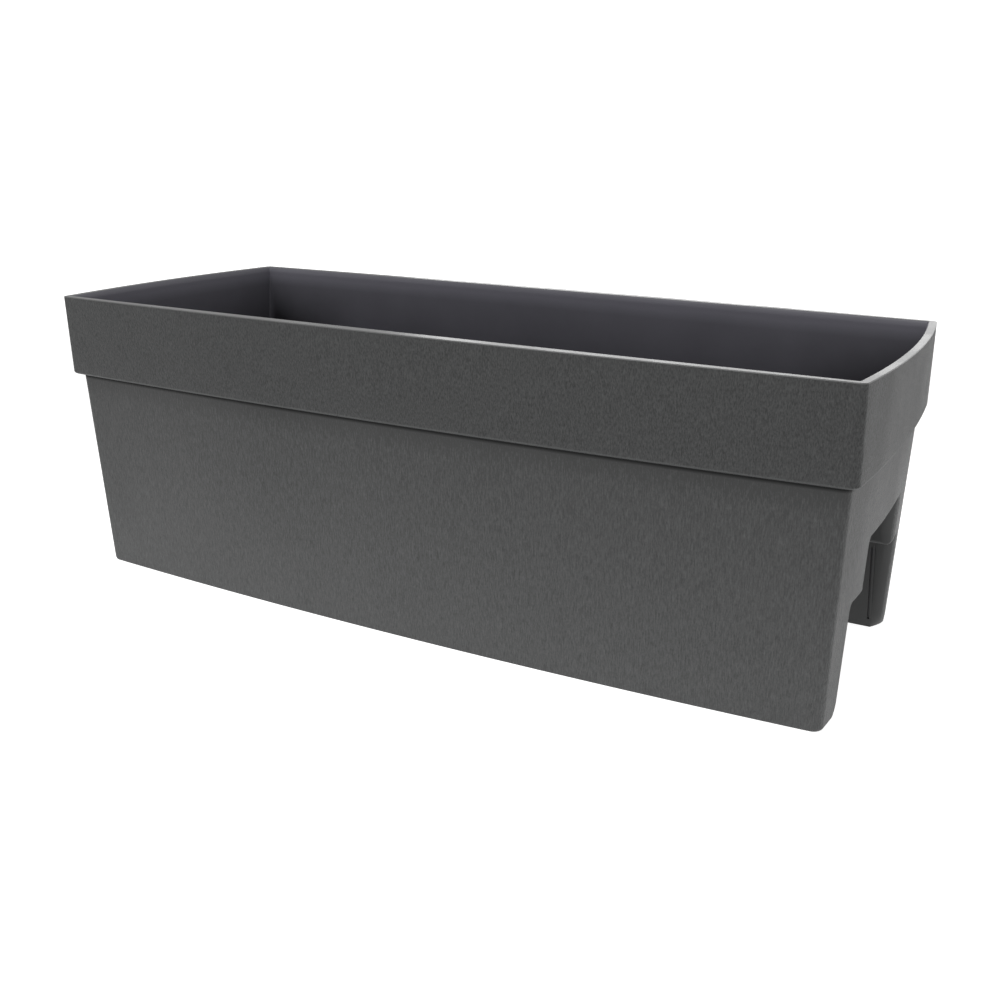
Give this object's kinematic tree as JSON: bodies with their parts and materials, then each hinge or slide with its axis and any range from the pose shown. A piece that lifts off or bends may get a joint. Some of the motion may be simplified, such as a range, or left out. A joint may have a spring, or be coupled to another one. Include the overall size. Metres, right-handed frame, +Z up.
{
  "type": "self watering planter",
  "caption": "Long bowed planter with a rim band and a stepped rail saddle; each hollow leg is a reservoir with grid, wick cups, filler, level float and drain plug.",
  "frame": {"origin": "centre of the footprint, on the plane of the feet", "axes": "+X along the length, +Y towards the rear leg, +Z up"},
  "size_m": [0.61, 0.256, 0.2175],
  "materials": {
    "shell_plastic": "matt charcoal resin with a fine upright brushed grain",
    "inner_plastic": "satin black moulded plastic",
    "steel": "drawn stainless wire",
    "foam": "closed-cell foam",
    "tip": "gloss red moulded plastic",
    "lens": "clear moulded plastic",
    "seal": "matt black rubber"
  },
  "bodies": {
    "planter": {"planter_shell": "shell_plastic", "front_water_grid": "inner_plastic", "front_wick_baskets": "inner_plastic", "front_filler_tube": "inner_plastic", "front_cap_pin": "steel", "front_level_tube": "inner_plastic", "front_level_lens": "lens", "rear_water_grid": "inner_plastic", "rear_wick_baskets": "inner_plastic", "rear_filler_tube": "inner_plastic", "rear_cap_pin": "steel", "rear_level_tube": "inner_plastic", "rear_level_lens": "lens"},
    "front_flap": {"front_filler_cap": "inner_plastic"},
    "front_float": {"front_level_float": "foam", "front_level_rod": "tip"},
    "front_plug": {"front_drain_plug": "inner_plastic", "front_plug_seal": "seal"},
    "rear_flap": {"rear_filler_cap": "inner_plastic"},
    "rear_float": {"rear_level_float": "foam", "rear_level_rod": "tip"},
    "rear_plug": {"rear_drain_plug": "inner_plastic", "rear_plug_seal": "seal"}
  },
  "joints": [
    {"name": "front_flap_hinge", "type": "hinge", "parent": "planter", "child": "front_flap", "pos_m": [0.262, -0.1064, 0.1676], "axis": [1, 0, 0], "range_deg": [0, 100]},
    {"name": "rear_flap_hinge", "type": "hinge", "parent": "planter", "child": "rear_flap", "pos_m": [-0.262, 0.1064, 0.1676], "axis": [-1, 0, 0], "range_deg": [0, 100]},
    {"name": "front_float_rise", "type": "slide", "parent": "planter", "child": "front_float", "axis": [0, 0, 1], "range_m": [0, 0.04]},
    {"name": "rear_float_rise", "type": "slide", "parent": "planter", "child": "rear_float", "axis": [0, 0, 1], "range_m": [0, 0.04]},
    {"name": "front_plug_turn", "type": "hinge", "parent": "planter", "child": "front_plug", "pos_m": [0.005, -0.091, 0], "axis": [0, 0, 1], "range_deg": [0, 90]},
    {"name": "rear_plug_turn", "type": "hinge", "parent": "planter", "child": "rear_plug", "pos_m": [-0.005, 0.091, 0], "axis": [0, 0, 1], "range_deg": [0, 90]}
  ]
}
